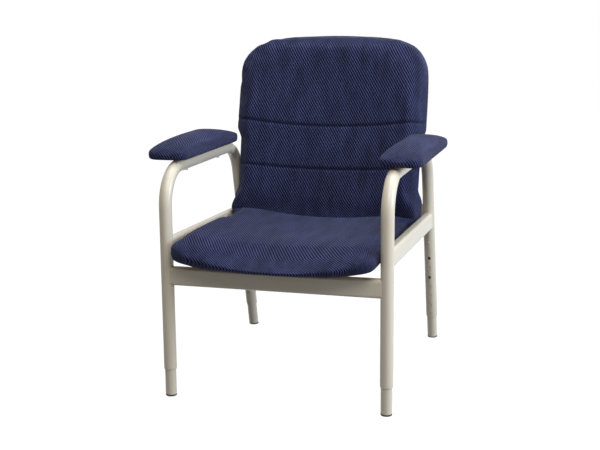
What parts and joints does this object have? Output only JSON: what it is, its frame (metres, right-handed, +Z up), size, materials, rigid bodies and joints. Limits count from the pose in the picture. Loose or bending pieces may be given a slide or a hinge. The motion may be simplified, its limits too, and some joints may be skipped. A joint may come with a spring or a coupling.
{
  "type": "height-adjustable patient chair",
  "caption": "Low-back patient armchair: bent tube side frames, telescoping snap-button legs, dished woven-fabric seat, back and arm pads.",
  "frame": {"origin": "on the floor, midway between the two side frames and midway between the front of the seat's nose and the back of the rear feet", "axes": "+Z up; -Y towards the front, where the sitter's knees are; +X to the right as the chair is seen from its front, which is the sitter's left"},
  "size_m": [0.688, 0.7461, 0.8768],
  "materials": {
    "frame_paint": "semi-gloss off-white powder coat",
    "leg_paint": "semi-gloss off-white powder coat",
    "rivet_paint": "semi-gloss off-white powder coat",
    "button_metal": "dark plated steel",
    "spring_steel": "bare spring steel strip",
    "foot_rubber": "dark grey moulded rubber",
    "cap_plastic": "dark grey moulded plastic",
    "bolt_steel": "zinc-plated steel",
    "tee_steel": "zinc-plated steel",
    "shell_wood": "unfinished birch plywood",
    "upholstery": "navy woven upholstery with lighter flecks"
  },
  "bodies": {
    "frame": {"side_frame_right": "frame_paint", "side_frame_left": "frame_paint", "side_rail_right": "frame_paint", "side_rail_left": "frame_paint", "front_rail": "frame_paint", "rear_rail": "frame_paint", "back_upright_right": "frame_paint", "back_upright_left": "frame_paint", "seat_tabs": "frame_paint", "stop_rivets": "rivet_paint", "upright_caps": "cap_plastic", "back_bolts": "bolt_steel", "seat_screws": "bolt_steel", "arm_screws": "bolt_steel", "back_tee_nuts": "tee_steel", "back_shell": "shell_wood", "seat_shell": "shell_wood", "arm_board_right": "shell_wood", "arm_board_left": "shell_wood", "back_cushion": "upholstery", "seat_cushion": "upholstery", "arm_pad_right": "upholstery", "arm_pad_left": "upholstery"},
    "leg_front_right": {"inner_leg_front_right": "leg_paint", "snap_spring_front_right": "spring_steel", "foot_front_right": "foot_rubber"},
    "button_front_right": {"snap_button_front_right": "button_metal"},
    "leg_front_left": {"inner_leg_front_left": "leg_paint", "snap_spring_front_left": "spring_steel", "foot_front_left": "foot_rubber"},
    "button_front_left": {"snap_button_front_left": "button_metal"},
    "leg_rear_right": {"inner_leg_rear_right": "leg_paint", "snap_spring_rear_right": "spring_steel", "foot_rear_right": "foot_rubber"},
    "button_rear_right": {"snap_button_rear_right": "button_metal"},
    "leg_rear_left": {"inner_leg_rear_left": "leg_paint", "snap_spring_rear_left": "spring_steel", "foot_rear_left": "foot_rubber"},
    "button_rear_left": {"snap_button_rear_left": "button_metal"}
  },
  "joints": [
    {"name": "leg_slide_front_right", "type": "slide", "parent": "frame", "child": "leg_front_right", "axis": [0, 0, -1], "range_m": [-0.06, 0.12]},
    {"name": "button_press_front_right", "type": "slide", "parent": "leg_front_right", "child": "button_front_right", "axis": [0, -1, 0], "range_m": [0, 0.0053], "stiffness_N_per_m": 1500, "springref_m": -0.004, "deforming": ["snap_spring_front_right"]},
    {"name": "leg_slide_front_left", "type": "slide", "parent": "frame", "child": "leg_front_left", "axis": [0, 0, -1], "range_m": [-0.06, 0.12]},
    {"name": "button_press_front_left", "type": "slide", "parent": "leg_front_left", "child": "button_front_left", "axis": [0, -1, 0], "range_m": [0, 0.0053], "stiffness_N_per_m": 1500, "springref_m": -0.004, "deforming": ["snap_spring_front_left"]},
    {"name": "leg_slide_rear_right", "type": "slide", "parent": "frame", "child": "leg_rear_right", "axis": [0, 0.2419, -0.9703], "range_m": [-0.06, 0.12]},
    {"name": "button_press_rear_right", "type": "slide", "parent": "leg_rear_right", "child": "button_rear_right", "axis": [0, 0.9703, 0.2419], "range_m": [0, 0.0053], "stiffness_N_per_m": 1500, "springref_m": -0.004, "deforming": ["snap_spring_rear_right"]},
    {"name": "leg_slide_rear_left", "type": "slide", "parent": "frame", "child": "leg_rear_left", "axis": [0, 0.2419, -0.9703], "range_m": [-0.06, 0.12]},
    {"name": "button_press_rear_left", "type": "slide", "parent": "leg_rear_left", "child": "button_rear_left", "axis": [0, 0.9703, 0.2419], "range_m": [0, 0.0053], "stiffness_N_per_m": 1500, "springref_m": -0.004, "deforming": ["snap_spring_rear_left"]}
  ]
}
